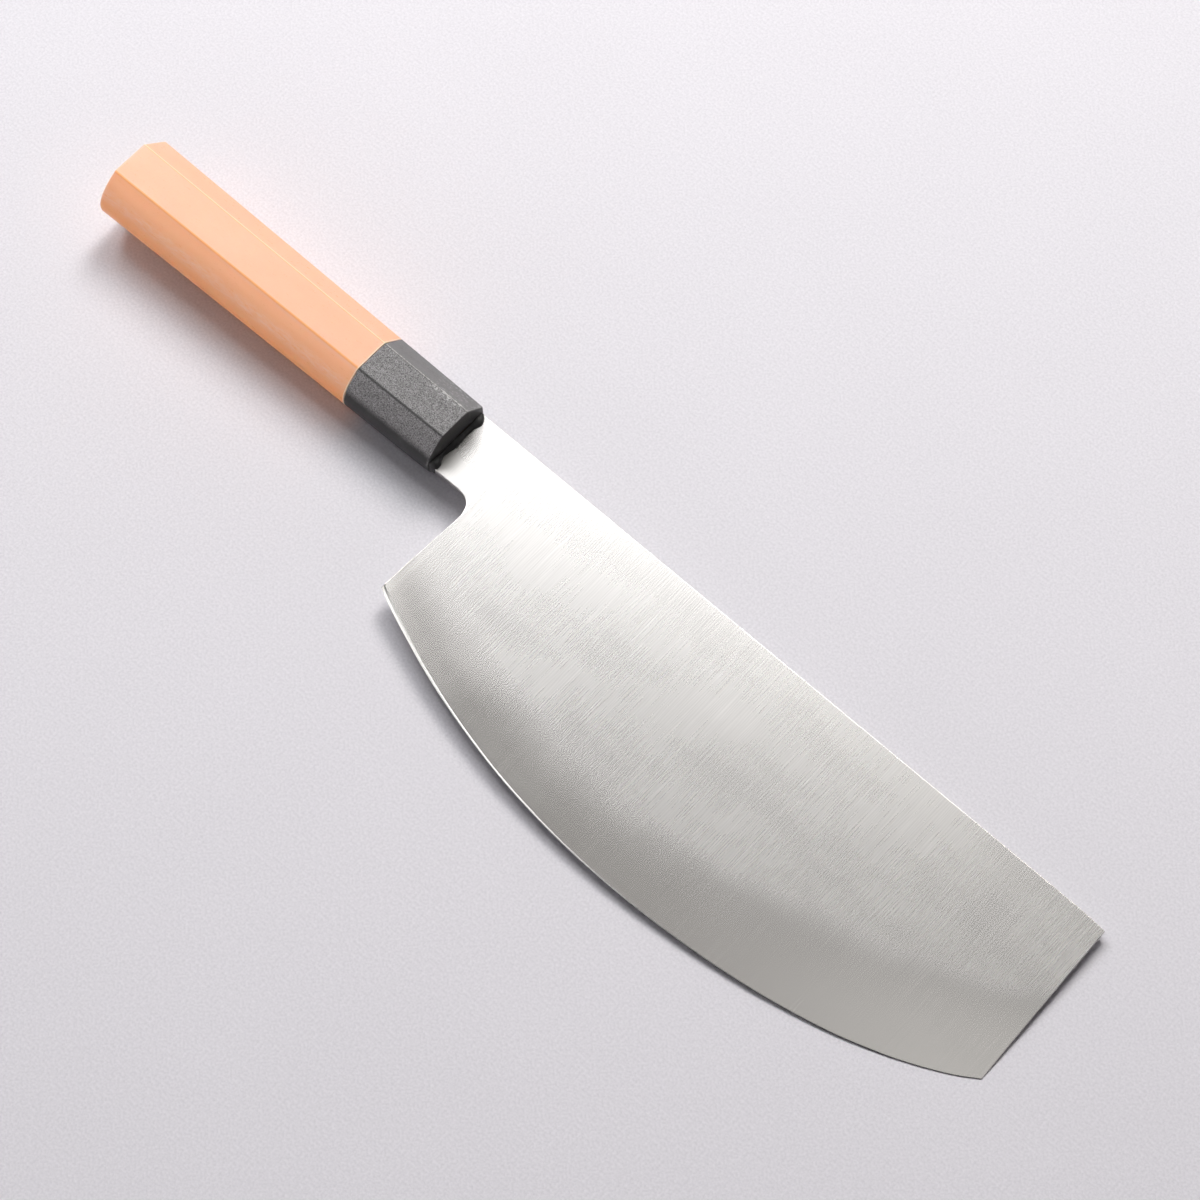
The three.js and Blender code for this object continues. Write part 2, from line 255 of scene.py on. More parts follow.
    # neck: straight lower edge, then the heel radius
    heel_end = top[0] - run[0] * fillet_at
    q0, q1, q2 = np.array([HEEL_FILLET_X, NECK_Y]), np.array([heel_end[0] + 0.42, NECK_Y]), heel_end
    curve = [(1 - t) ** 2 * q0 + 2 * t * (1 - t) * q1 + t * t * q2 for t in np.linspace(0, 1, 25)]
    neck_low = [np.array([lerp(SHOULDER_X, HEEL_FILLET_X, t), NECK_Y]) for t in np.linspace(0, 1, 12)[:-1]] + curve
    m = len(neck_low) - 1
    first = len(verts)
    neck_cols = []
    for k, low in enumerate(neck_low[:-1]):
        tx = lerp(SHOULDER_X, HEEL_TOP_X, k / m)
        t0 = np.array([tx, float(spine_y(tx))])
        length = np.linalg.norm(low - t0)
        col = []
        for r in line_rows(length):
            p = t0 + (low - t0) / length * r
            col.append(len(verts))
            verts.append((p[0], p[1], float(flat_z(p[0], p[1]))))
            d_edge.append(99.0)
            d_in.append(-1.0)
            d_frac.append(9.0)
        neck_cols.append(col)
    neck_cols.append([at(0, r) for r in range(n_up)])
    for a, b in zip(neck_cols[:-1], neck_cols[1:]):
        for r in range(n_up - 1):
            faces.append((a[r], a[r + 1], b[r + 1], b[r]))

    # tang
    def tang_edges(tx):
        k = -tx / TANG_LENGTH
        hi, lo = lerp(TANG_TOP[0], TANG_TOP[1], k), lerp(TANG_BOTTOM[0], TANG_BOTTOM[1], k)
        hi -= 3.0 * max(0.0, (-(TANG_LENGTH - 6) - tx) / 6)
        lo += 1.5 * max(0.0, (-(TANG_LENGTH - 3) - tx) / 3)
        return hi, lo

    before = neck_cols[0][i_ta:i_tb + 1]
    n_tang = len(before)
    for tx in [-0.35, -1.2, -6, -16, -28, -40, -52, -64, -76, -88, -98, -104, -106, -109, -112]:
        hi, lo = tang_edges(tx)
        col = []
        for j in range(n_tang):
            col.append(len(verts))
            verts.append((tx, lerp(hi, lo, j / (n_tang - 1)), TANG_HALF))
            d_edge.append(99.0)
            d_in.append(-1.0)
            d_frac.append(9.0)
        for r in range(n_tang - 1):
            faces.append((col[r], col[r + 1], before[r + 1], before[r]))
        before = col

    v = np.array(verts)
    # eased rims: spine, neck and heel, tip end
    d_spine = np.where(v[:, 0] > -0.1, spine_y(v[:, 0]) - v[:, 1], 9)
    rim = np.array([[SHOULDER_X - 3, NECK_Y]] + [list(p) for p in neck_low] + [list(HEEL_CORNER)])
    d_heel = polyline_distance(v[:, :2], rim)
    tip = np.array([[TIP_TOP_X, float(spine_y(TIP_TOP_X))], list(TIP_CORNER)])
    d_tip = polyline_distance(v[:, :2], tip)
    sheet = v[:, 0] > -0.1
    drop = np.zeros(len(v))
    for d, r in ((d_spine, 0.2), (d_heel, 0.2), (d_tip, 0.18)):
        r = np.minimum(r, 0.42 * v[:, 2])
        inside = (d < r) & sheet
        e = (r - np.clip(d, 0, None)).clip(0)
        drop = np.where(inside, np.maximum(drop, r - np.sqrt((r * r - e * e).clip(0))), drop)
    v[:, 2] -= drop

    n = len(v)
    low = v * [1, 1, -1]
    all_v = np.concatenate([v, low])
    edges = {}
    for f in faces:
        for i in range(4):
            edges[(f[i], f[(i + 1) % 4])] = True
    both = list(faces) + [tuple(i + n for i in reversed(f)) for f in faces]
    for a, b in list(edges):
        if (b, a) not in edges:
            both.append((b, a, a + n, b + n))
    sharp = []
    for r in (n_rows - len(bevel_rows) + 2, n_rows - len(bevel_rows) + 5, n_rows - 1):
        for c in range(n_cols - 1):
            a, b = at(c, r), at(c + 1, r)
            sharp += [(a, b), (a + n, b + n)]
    d_rim = np.minimum(np.minimum(np.abs(d_spine), d_heel), d_tip)
    unit, tall = 1.0 / 245.0, 0.36
    n_side = len(faces)
    chart, run_s, row = [], 0.0, 0
    for i, f in enumerate(both):
        if i < 2 * n_side:
            under = i >= n_side
            q = all_v[list(f)]
            if q[:, 0].mean() < SHOULDER_X:                  # tang
                chart.append([((x + 113) * unit, 0.74 + under * 0.08 + (y + 9) * unit) for x, y, _ in q])
            else:
                chart.append([((x + 1.0) * unit, 0.006 + under * tall + (y + 74.2) * unit) for x, y, _ in q])
            continue
        length = float(np.linalg.norm(all_v[f[1]] - all_v[f[0]]))
        if run_s + length > 240:
            run_s, row = 0.0, row + 1
        zs = [all_v[j][2] for j in f]
        s0, s1 = (run_s + length + 0.5) * unit, (run_s + 0.5) * unit
        chart.append([(u_, 0.91 + row * 0.016 + (z_ + 1.4) * unit) for u_, z_ in zip((s0, s1, s1, s0), zs)])
        run_s += length + 0.02
    ob = make_object("blade_body", all_v, both, sharp_deg=34, sharp_pairs=sharp, attrs={
        "edge_mm": np.tile(np.minimum(d_edge, 40), 2),
        "ground": np.tile(np.clip(d_in, -1, 1), 2),
        "bevel": np.tile(np.minimum(d_frac, 2), 2),
        "rim_mm": np.tile(np.minimum(d_rim, 5), 2),
    }, chart=chart)
    return ob


# ---------------------------------------------------------------------------
# Handle
# ---------------------------------------------------------------------------
HANDLE_LENGTH, FERRULE_LENGTH = 137.4, 34.2
FLAT_HALF, HALF_THICK, CHAMFER, ROUND_REACH = (6.4, 5.55), (11.05, 10.65), (7.45, 6.2), (8.55, 7.35)
BED_WALL, GAP, JOINT_GAP, FRONT_WALL, SPIGOT_INSET, SOCKET_EXTRA = 0.9, 0.3, 0.15, 9.0, 3.0, 4.0


def arc(corner, d_in, d_out, radius, n):
    """Points of a fillet at a corner. d_in and d_out point away from it."""
    half = math.acos(max(-1, min(1, float(d_in @ d_out)))) / 2
    t = radius / math.tan(half)
    a, b = corner + d_in * t, corner + d_out * t
    mid = d_in + d_out
    mid /= np.linalg.norm(mid)
    centre = corner + mid * radius / math.sin(half)
    out = []
    a0 = a - centre
    b0 = b - centre
    turn = math.acos(max(-1, min(1, float(a0 @ b0) / (radius * radius))))
    for i in range(n + 1):
        k = i / n
        out.append(centre + (math.sin((1 - k) * turn) * a0 + math.sin(k * turn) * b0) / math.sin(turn))
    return out, t


def handle_ring(x, inset=0.0, radius=0.42, fine=True):
    """Section of the handle at x, drawn in by inset: (points as y and z, edge weight by point)."""
    k = (x + HANDLE_LENGTH) / HANDLE_LENGTH
    a0, c0 = lerp(*FLAT_HALF, k), lerp(*CHAMFER, k)
    h0, w0 = lerp(*HALF_THICK, k), lerp(*ROUND_REACH, k)
    h, far = h0 - inset, a0 + c0 - inset
    c, a, near = c0 - inset * 0.5858, a0 - inset * 0.4142, a0 + w0 - inset
    corner = [np.array(p) for p in ((-a, h), (a, h), (far, h - c), (far, -(h - c)), (a, -h), (-a, -h))]
    unit = lambda d: d / np.linalg.norm(d)
    lean = unit(np.array([-2 * (near - a) / h, -1.0]))      # the bowed side leaves the upper flat this way
    n = 5 if fine else 2
    pts, mark = [], []

    def put(points, m):
        for p in points:
            pts.append(np.array(p))
            mark.append(m)

    arcs = []
    for i in range(6):
        if i == 0:
            d_in, d_out = lean, unit(corner[1] - corner[0])
        elif i == 5:
            d_in, d_out = unit(corner[4] - corner[5]), lean * [1, -1]
        else:
            d_in, d_out = unit(corner[i - 1] - corner[i]), unit(corner[i + 1] - corner[i])
        arcs.append(arc(corner[i], d_in, d_out, radius * (1.5 if i in (0, 5) else 1.0), n))
    ids = (1.0, 2.0, 3.0, 3.0, 2.0, 1.0)
    for i in range(6):
        put(arcs[i][0], ids[i])
        if i < 5:                                            # flat between two fillets, with guard points
            s, e = arcs[i][0][-1], arcs[i + 1][0][0]
            length = np.linalg.norm(e - s)
            g = min(0.3, length * 0.2) / length
            put([lerp(s, e, t) for t in (g, 0.25, 0.5, 0.75, 1 - g)], 0.0)
    z1 = arcs[5][0][-1][1]
    for t in np.linspace(-1, 1, 33)[1:-1]:
        z = abs(z1) * (0.35 * t + 0.65 * math.sin(t * math.pi / 2))
        put([(-(a + (near - a) * (1 - (z / h) ** 2)), z)], 0.0)
    return np.array(pts), np.array(mark)


class Sweep:
    """Collects rings of points and the faces between them."""

    def __init__(self):
        self.verts, self.faces, self.mark, self.end = [], [], [], []

    def ring(self, x, points, mark, end=0.0):
        ids = list(range(len(self.verts), len(self.verts) + len(points)))
        xs = np.broadcast_to(np.asarray(x, float), (len(points),))
        for xx, p, m in zip(xs, points, mark):
            self.verts.append((xx, p[0], p[1]))
            self.mark.append(m)
            self.end.append(end)
        return ids

    def skin(self, a, b):
        n = len(a)
        for i in range(n):
            j = (i + 1) % n
            self.faces.append((a[i], a[j], b[j], b[i]))

    def cap(self, ids):
        self.faces.append(tuple(ids))

    def plate(self, outer, inner, steps=(0.35, 0.7)):
        """Flat rings of quads from an outer loop to a hole with as many points."""
        last = outer
        for t in steps:
            pts = [lerp(np.array(self.verts[o]), np.array(self.verts[i]), t) for o, i in zip(outer, inner)]
            ids = list(range(len(self.verts), len(self.verts) + len(pts)))
            for q in pts:
                self.verts.append(tuple(q))
                self.mark.append(0.0)
                self.end.append(0.0)
            self.skin(last, ids)
            last = ids
        self.skin(last, inner)


def slot_ring(x, grow, like):
    """Section of the tang's pocket at x, with its points matched to the loop around it."""
    k = -x / TANG_LENGTH
    lo = lerp(*TANG_BOTTOM, k) - grow
    hi = lerp(*TANG_TOP, k) + grow
    hz = TANG_HALF + grow
    corners = np.array([(lo, hz), (hi, hz), (hi, -hz), (lo, -hz)])
    reach = np.abs(like).max(0)
    tied = [int(np.argmin(np.linalg.norm(like / reach - np.sign(c) * 0.8, axis=1))) for c in corners]
    n = len(like)
    out = np.zeros((n, 2))
    for j in range(4):
        i0, i1 = tied[j], tied[(j + 1) % 4]
        count = (i1 - i0) % n
        for i in range(count):
            out[(i0 + i) % n] = lerp(corners[j], corners[(j + 1) % 4], i / count)
    return out


def build_ferrule():
    s = Sweep()
    back = -FERRULE_LENGTH + JOINT_GAP
    rings = []
    p, m = handle_ring(back, 0.1)
    rings.append(s.ring(back, p, m, 1.0))
    p, m = handle_ring(back + 0.1)
    rings.append(s.ring(back + 0.1, p, m, 0.6))
    for x in np.linspace(back + 0.5, -1.0, 14):
        p, m = handle_ring(x)
        rings.append(s.ring(x, p, m))
    r = 0.5
    for t in np.linspace(0, 1, 7):
        ang = t * math.pi / 2
        p, m = handle_ring(-r + r * math.sin(ang), r * (1 - math.cos(ang)))
        rings.append(s.ring(-r + r * math.sin(ang), p, m, 1.0 if t > 0 else 0.3))
    for a, b in zip(rings[:-1], rings[1:]):
        s.skin(a, b)
    p, m = handle_ring(0, r + 0.25)
    lip = s.ring(0.0, p, m * 0, 0.3)
    s.skin(rings[-1], lip)
    mouth = s.ring(0.0, slot_ring(0, BED_WALL + GAP, p), m * 0)
    s.plate(lip, mouth)
    floor_slot = s.ring(-FRONT_WALL, slot_ring(-FRONT_WALL, BED_WALL + GAP, p), m * 0)
    s.skin(mouth, floor_slot)
    p, m = handle_ring(-FRONT_WALL, SPIGOT_INSET - GAP, fine=True)
    floor_ring = s.ring(-FRONT_WALL, p, m * 0)
    s.plate(floor_ring, floor_slot)
    p, m = handle_ring(back, SPIGOT_INSET - GAP, fine=True)
    back_ring = s.ring(back, p, m * 0)
    s.skin(floor_ring, back_ring)
    s.skin(back_ring, rings[0])
    return make_object("ferrule_collar", np.array(s.verts), s.faces, sharp_deg=40,
                       attrs={"corner": s.mark, "rim": s.end})


def build_grip():
    s = Sweep()
    front = -FERRULE_LENGTH
    rings = []
    r = 0.95
    # slightly crowned butt
    crown = [(9.2, 0.0), (7.0, 0.01), (4.5, 0.05), (2.4, 0.11), (r + 0.25, 0.17)]
    first = None
    for inset, sink in crown:
        p, m = handle_ring(-HANDLE_LENGTH, inset, radius=0.3)
        ring = s.ring(-HANDLE_LENGTH + sink, p, m * 0)
        if first is None:
            s.cap(ring)
            first = ring
        rings.append(ring)
    for t in np.linspace(0, 1, 9):
        ang = t * math.pi / 2
        x = -HANDLE_LENGTH + 0.2 + r * (1 - math.cos(ang))
        p, m = handle_ring(x, r * (1 - math.sin(ang)))
        rings.append(s.ring(x, p, m, 1.0 if t < 1 else 0.3))
    x0 = -HANDLE_LENGTH + 0.2 + r
    for x in np.linspace(x0 + 0.5, front - 0.5, 40):
        p, m = handle_ring(x)
        rings.append(s.ring(x, p, m))
    p, m = handle_ring(front - 0.42)
    rings.append(s.ring(front - 0.42, p, m))
    p, m = handle_ring(front - 0.36)
    rings.append(s.ring(front - 0.36, p, m, 1.0))
    p, m = handle_ring(front - 0.1)
    rings.append(s.ring(front - 0.1, p, m, 1.0))
    p, m = handle_ring(front, 0.1)
    rings.append(s.ring(front, p, m, 1.0))
    p, m = handle_ring(front, SPIGOT_INSET)
    rings.append(s.ring(front, p, m * 0))
    spigot = -FRONT_WALL - GAP
    p, m = handle_ring(spigot, SPIGOT_INSET)
    nose = s.ring(spigot, p, m * 0)
    rings.append(nose)
    for a, b in zip(rings[:-1], rings[1:]):
        s.skin(a, b)
    mouth = s.ring(spigot, slot_ring(spigot, BED_WALL + GAP, p), m * 0)
    s.plate(nose, mouth)
    deep = -TANG_LENGTH - SOCKET_EXTRA
    end = s.ring(deep, slot_ring(deep, BED_WALL + GAP, p), m * 0)
    s.skin(mouth, end)
    s.cap(end)
    return make_object("grip_body", np.array(s.verts), s.faces, sharp_deg=40,
                       attrs={"corner": s.mark, "rim": s.end})


# ---------------------------------------------------------------------------
# Sealing bead round the neck
# ---------------------------------------------------------------------------
def build_seal():
    top_y, low_y, half = float(spine_y(0)), NECK_Y, HALF_SPINE
    # walk round the neck: upper side from spine to edge side, under the lower edge, back along the under side
    reach = np.array([(11.2, 0.85), (10.4, 1.4), (9.6, 2.1), (8.6, 2.6), (7.4, 2.6), (6.8, 2.15), (5.7, 1.95), (4.4, 1.8), (2.6, 1.7),
                      (1.2, 1.85), (0.2, 2.0), (-1.1, 2.1), (-2.7, 2.0), (-5.0, 1.55), (-7.2, 1.25), (-8.2, 1.7),
                      (-9.5, 2.55), (-11.0, 2.85), (-12.1, 2.5)])[::-1]
    out_y = np.array([(-12.2, 1.35), (-10.5, 1.6), (-8.4, 1.2), (-6.5, 0.8), (-3.0, 1.05), (-0.8, 1.15), (2.4, 0.8), (5.0, 0.85),
                      (7.0, 1.1), (8.8, 1.2), (10.2, 0.8), (11.2, 0.5)])
    path, normal, length, width = [], [], [], []

    def wob(t, seed):
        return 0.06 * math.sin(3.1 * t + seed) + 0.045 * math.sin(7.3 * t + 2.1 * seed) + 0.03 * math.sin(13.7 * t + 0.7 * seed)

    r = 0.35
    for y in np.linspace(top_y - r, low_y + r, 72):
        path.append((y, half))
        normal.append((0, 1))
        length.append(np.interp(y, reach[:, 0], reach[:, 1]) + wob(y, 0.4))
        width.append(np.interp(y, out_y[:, 0], out_y[:, 1]) + wob(y * 1.3, 1.7))
    for a in np.linspace(0, math.pi / 2, 6)[1:]:
        path.append((low_y + r - r * math.sin(a), half - r + r * math.cos(a)))
        normal.append((-math.sin(a), math.cos(a)))
        length.append(2.5 - 0.35 * math.sin(a))
        width.append(lerp(1.3, 0.42, math.sin(a)))
    for z in np.linspace(half - r, -half + r, 7)[1:-1]:
        path.append((low_y, z))
        normal.append((-1, 0))
        length.append(2.1 + 0.1 * math.sin(3 * z))
        width.append(0.42)
    for a in np.linspace(math.pi / 2, 0, 6):
        path.append((low_y + r - r * math.sin(a), -half + r - r * math.cos(a)))
        normal.append((-math.sin(a), -math.cos(a)))
        length.append(2.3 - 0.2 * math.sin(a))
        width.append(lerp(1.3, 0.42, math.sin(a)))
    for y in np.linspace(low_y + r, top_y - r, 72)[1:]:
        path.append((y, -half))
        normal.append((0, -1))
        length.append(np.interp(y * 0.96 + 0.3, reach[:, 0], reach[:, 1]) * 0.9 + wob(y, 3.3))
        width.append(np.interp(y, out_y[:, 0], out_y[:, 1]) * 0.95 + wob(y * 1.2, 5.1))
    for a in np.linspace(0, math.pi / 2, 6)[1:]:
        path.append((top_y - r + r * math.sin(a), -half + r - r * math.cos(a)))
        normal.append((math.sin(a), -math.cos(a)))
        length.append(1.0 - 0.2 * math.sin(a))
        width.append(lerp(0.5, 0.26, math.sin(a)))
    for z in np.linspace(-half + r, half - r, 7)[1:-1]:
        path.append((top_y, z))
        normal.append((1, 0))
        length.append(0.8 + 0.06 * math.cos(3 * z))
        width.append(0.26)
    for a in np.linspace(math.pi / 2, 0, 6)[:-1]:
        path.append((top_y - r + r * math.sin(a), half - r + r * math.cos(a)))
        normal.append((math.sin(a), math.cos(a)))
        length.append(1.0 - 0.2 * math.sin(a))
        width.append(lerp(0.5, 0.26, math.sin(a)))
    path, normal = np.array(path), np.array(normal)
    length, width = np.array(length), np.array(width)
    # keep the two runs of sizes even across the joins
    for _ in range(2):
        length = (np.roll(length, 1) + 2 * length + np.roll(length, -1)) / 4
        width = (np.roll(width, 1) + 2 * width + np.roll(width, -1)) / 4
    # section: a plump quarter round from the blade to the collar's face, closed at the back
    base = 0.03
    profile = []
    for t in np.linspace(0, 1, 10):
        a = t * math.pi / 2
        profile.append((math.cos(a) ** 0.8, math.sin(a) ** 0.8))
    n, k = len(path), len(profile) + 1
    verts, faces = [], []
    for i in range(n):
        for cx, co in profile:
            q = path[i] + normal[i] * (co * width[i] - 0.02)
            verts.append((base + cx * (length[i] - base), q[0], q[1]))
        q = path[i] - normal[i] * 0.02
        verts.append((base, q[0], q[1]))
    for i in range(n):
        j = (i + 1) % n
        for a in range(k):
            b = (a + 1) % k
            faces.append((i * k + a, i * k + b, j * k + b, j * k + a))
    return make_object("neck_seal_bead", np.array(verts), faces, sharp_deg=60)


blade = build_blade()
ferrule = build_ferrule()
grip = build_grip()
seal = build_seal()

# ---------------------------------------------------------------------------
# Materials
# ---------------------------------------------------------------------------


class Nodes:
    """Short hand for building a node tree."""

    def __init__(self, name):
        self.mat = bpy.data.materials.new(name)
        self.mat.use_nodes = True
        self.t = self.mat.node_tree
        self.t.nodes.clear()

    def add(self, kind, inputs=None, **props):
        n = self.t.nodes.new(kind)
        for k, v in props.items():
            setattr(n, k, v)
        for k, v in (inputs or {}).items():
            sock = n.inputs[k]
            if isinstance(v, bpy.types.NodeSocket):
                self.t.links.new(v, sock)
            else:
                sock.default_value = v
        return n

    def math(self, op, a, b=None, c=None, clamp=False):
        n = self.add("ShaderNodeMath", operation=op, use_clamp=clamp)
        for i, v in enumerate((a, b, c)):
            if v is None:
                continue
            if isinstance(v, bpy.types.NodeSocket):
                self.t.links.new(v, n.inputs[i])
            else:
                n.inputs[i].default_value = v
        return n.outputs[0]

    def remap(self, value, a, b, c, d, kind="LINEAR"):
        n = self.add("ShaderNodeMapRange", {"Value": value, "From Min": a, "From Max": b, "To Min": c, "To Max": d},
                     interpolation_type=kind, clamp=True)
        return n.outputs[0]

    def own_mm(self):
        """The knife's own axes in millimetres, from the row frame."""
        tc = self.add("ShaderNodeTexCoord")
        mp = self.add("ShaderNodeMapping", {"Vector": tc.outputs["Object"]}, vector_type="TEXTURE")
        mp.inputs["Location"].default_value = tuple(PLACE / 1000)
        mp.inputs["Rotation"].default_value = (ROLL, PITCH, 0)
        mp.inputs["Scale"].default_value = (0.001, 0.001, 0.001)
        return mp.outputs[0]

    def stretch(self, vec, scale, offset=(0, 0, 0)):
        mp = self.add("ShaderNodeMapping", {"Vector": vec}, vector_type="POINT")
        mp.inputs["Scale"].default_value = scale
        mp.inputs["Location"].default_value = offset
        return mp.outputs[0]

    def noise(self, vec, scale=1.0, detail=2.0, rough=0.5):
        n = self.add("ShaderNodeTexNoise", {"Vector": vec, "Scale": scale, "Detail": detail, "Roughness": rough})
        return n.outputs["Fac"]

    def mix(self, fac, a, b, blend="MIX"):
        n = self.add("ShaderNodeMix", data_type="RGBA", blend_type=blend)
        for idx, v in ((0, fac), (6, a), (7, b)):
            if isinstance(v, bpy.types.NodeSocket):
                self.t.links.new(v, n.inputs[idx])
            else:
                n.inputs[idx].default_value = v
        return n.outputs[2]

    def attr(self, name):
        return self.add("ShaderNodeAttribute", attribute_name=name).outputs["Fac"]

    def bump(self, height, strength, distance, normal=None):
        ins = {"Height": height, "Strength": strength, "Distance": distance}
        if normal is not None:
            ins["Normal"] = normal
        return self.add("ShaderNodeBump", ins).outputs[0]

    def finish(self, bsdf):
        out = self.add("ShaderNodeOutputMaterial")
        self.t.links.new(bsdf.outputs[0], out.inputs["Surface"])
        return self.mat


def steel_material():
    k = Nodes("satin_steel")
    p = k.own_mm()
    xyz = k.add("ShaderNodeSeparateXYZ", {"Vector": p})
    heel = k.remap(xyz.outputs[0], 50.0, 170.0, 1.0, 0.0, "SMOOTHSTEP")
    drift = k.noise(k.stretch(p, (0.22, 0.022, 0.05), (2.3, 0.4, 0)), 1.0, 2.0, 0.6)
    hatch = k.math("SINE", k.math("MULTIPLY_ADD", drift, 24.0, k.math("MULTIPLY", xyz.outputs[0], 8.4)))       # belt lines, 0.75 mm apart
    fine = k.noise(k.stretch(p, (5.4, 0.1, 0.2)), 1.0, 0.0, 0.5)
    line = k.noise(k.stretch(p, (2.6, 0.03, 0.1), (3.1, 0.7, 0)), 1.0, 0.0, 0.5)
    patch = k.noise(k.stretch(p, (0.09, 0.06, 0.05), (1.7, 5.2, 0)), 1.0, 2.0, 0.55)
    cloud = k.noise(k.stretch(p, (0.03, 0.06, 0.05), (9.1, 2.2, 0)), 1.0, 2.0, 0.5)
    zone = k.attr("ground")
    inside = k.remap(zone, -0.35, 0.3, 0.0, 1.0, "SMOOTHSTEP")
    polish = k.math("MULTIPLY", inside, k.math("MULTIPLY_ADD", heel, -0.15, 0.6))           # the ground zone is polished finer, most of all at the tip
    brushed = k.math("SUBTRACT", 1.0, polish)
    hatch = k.math("MULTIPLY", hatch, k.remap(patch, 0.35, 0.65, 0.07, 0.09))
    lines = k.math("MULTIPLY_ADD", k.math("SUBTRACT", fine, 0.5), 0.26, hatch)
    lines = k.math("MULTIPLY", lines, k.remap(xyz.outputs[0], 4.0, 26.0, 0.25, 1.0, "SMOOTHSTEP"))       # the neck is smoother
    scratch = k.remap(line, 0.64, 0.78, 0.0, 0.11)                                           # long single lines cross both zones
    swing = k.math("MULTIPLY_ADD", lines, brushed, scratch)
    col = k.mix(k.math("ADD", swing, 0.5, clamp=True), (0.45, 0.438, 0.423, 1), (0.79, 0.769, 0.746, 1))
    sharp, slow = k.remap(zone, -0.25, 0.22, 0.0, 1.0, "SMOOTHSTEP"), k.remap(zone, -0.2, 0.7, 0.0, 1.0, "SMOOTHSTEP")
    gradual = k.remap(xyz.outputs[0], 110.0, 210.0, 1.0, 0.0, "SMOOTHSTEP")                 # the change is gradual except near the tip
    finer = k.math("MULTIPLY_ADD", k.math("SUBTRACT", slow, sharp), gradual, sharp)
    rough = k.math("MULTIPLY_ADD", swing, 0.06, k.math("MULTIPLY_ADD", finer, -0.07, 0.275))
    rough = k.math("MULTIPLY_ADD", k.math("SUBTRACT", cloud, 0.5), 0.05, rough)
    normal = k.bump(swing, 0.1, 0.000001)
    tan = k.add("ShaderNodeTangent", direction_type="UV_MAP", uv_map="OFBake")
    b = k.add("ShaderNodeBsdfPrincipled", {"Base Color": col, "Roughness": rough, "Normal": normal, "Tangent": tan.outputs[0]})
    b.inputs["Metallic"].default_value = 1.0
    b.inputs["Anisotropic"].default_value = 0.7
    return k.finish(b)


def grip_material():
    k = Nodes("peach_resin")
    p = k.own_mm()
    xyz = k.add("ShaderNodeSeparateXYZ", {"Vector": p})
    cloud = k.noise(k.stretch(p, (0.06, 0.16, 0.16)), 1.0, 3.0, 0.55)
    grain = k.noise(p, 2.2, 2.0, 0.6)
    scuffs_and_sheen = k.noise(k.stretch(p, (0.3, 1.5, 1.5), (4.4, 1.3, 2.7)), 1.0, 3.0, 0.7)        # handling marks run lengthwise; the same streaks also break up the painted sheen on the bowed side
    corner, rim = k.attr("corner"), k.attr("rim")
    fac = k.math("ADD", k.math("MULTIPLY", cloud, 0.65), k.math("MULTIPLY", grain, 0.35), clamp=True)
    col = k.mix(fac, (0.93, 0.445, 0.262, 1), (0.985, 0.54, 0.353, 1))
    # the bowed side is painted a deeper, more saturated orange, standing in for its shade and for light scattered into
    # it through the resin, most of all along its middle; a painted sheen runs in streaks on either side of the middle
    bow = k.remap(xyz.outputs[1], -7.6, -5.8, 1.0, 0.0, "SMOOTHSTEP")
    col = k.mix(k.math("MULTIPLY", bow, 0.8), col, (1.0, 0.435, 0.19, 1))
    # painted shade: a deeper orange along the middle of the bowed side
    height = k.math("ABSOLUTE", xyz.outputs[2])
    middle = k.math("MULTIPLY", bow, k.remap(height, 1.0, 5.4, 1.0, 0.0, "SMOOTHSTEP"))
    col = k.mix(k.math("MULTIPLY", middle, 0.75), col, (0.97, 0.375, 0.115, 1))
    # painted sheen: lighter streaks on the bowed side, on either side of its middle
    band = k.math("MULTIPLY", k.remap(height, 3.4, 5.4, 0.0, 1.0, "SMOOTHSTEP"), k.remap(height, 6.0, 8.4, 1.0, 0.0, "SMOOTHSTEP"))
    painted_sheen = k.math("MULTIPLY", k.math("MULTIPLY", band, bow), k.remap(scuffs_and_sheen, 0.36, 0.66, 0.0, 0.65))
    col = k.mix(painted_sheen, col, (1.0, 0.58, 0.39, 1))
    painted_near_edge = k.math("SUBTRACT", 1.0, k.math("ABSOLUTE", k.math("SUBTRACT", corner, 1.0)), clamp=True)
    painted_far_highlight = k.math("SUBTRACT", 1.0, k.math("ABSOLUTE", k.math("SUBTRACT", corner, 2.0)), clamp=True)
    # painted glow: a saturated orange line along the near edges, for light shining through the rounded resin corner
    col = k.mix(k.math("MULTIPLY", painted_near_edge, 0.8), col, (0.93, 0.38, 0.10, 1))
    # painted highlight: a cream line along the far edges
    col = k.mix(k.math("MULTIPLY", painted_far_highlight, 0.6), col, (1.0, 0.78, 0.54, 1))
    # painted highlight: a pale line on the eased rims at the butt and, stronger, at the joint with the collar
    joint_highlight = k.remap(xyz.outputs[0], -FERRULE_LENGTH - 2.0, -FERRULE_LENGTH - 1.5, 0.0, 1.0)
    col = k.mix(k.math("MULTIPLY", rim, k.math("MULTIPLY_ADD", joint_highlight, 0.4, 0.2)), col, (1.0, 0.80, 0.63, 1))
    rough = k.math("ADD", k.remap(grain, 0.3, 0.7, 0.29, 0.37), k.math("MULTIPLY", k.math("SUBTRACT", scuffs_and_sheen, 0.5), 0.3))
    normal = k.bump(k.math("ADD", k.math("MULTIPLY", grain, 0.6), k.math("MULTIPLY", scuffs_and_sheen, 0.8)), 0.35, 0.00004)
    b = k.add("ShaderNodeBsdfPrincipled", {"Base Color": col, "Roughness": rough, "Normal": normal})
    b.inputs["Subsurface Weight"].default_value = 0.35
    b.inputs["Subsurface Radius"].default_value = (1.0, 0.5, 0.3)
    b.inputs["Subsurface Scale"].default_value = 0.0025
    return k.finish(b)


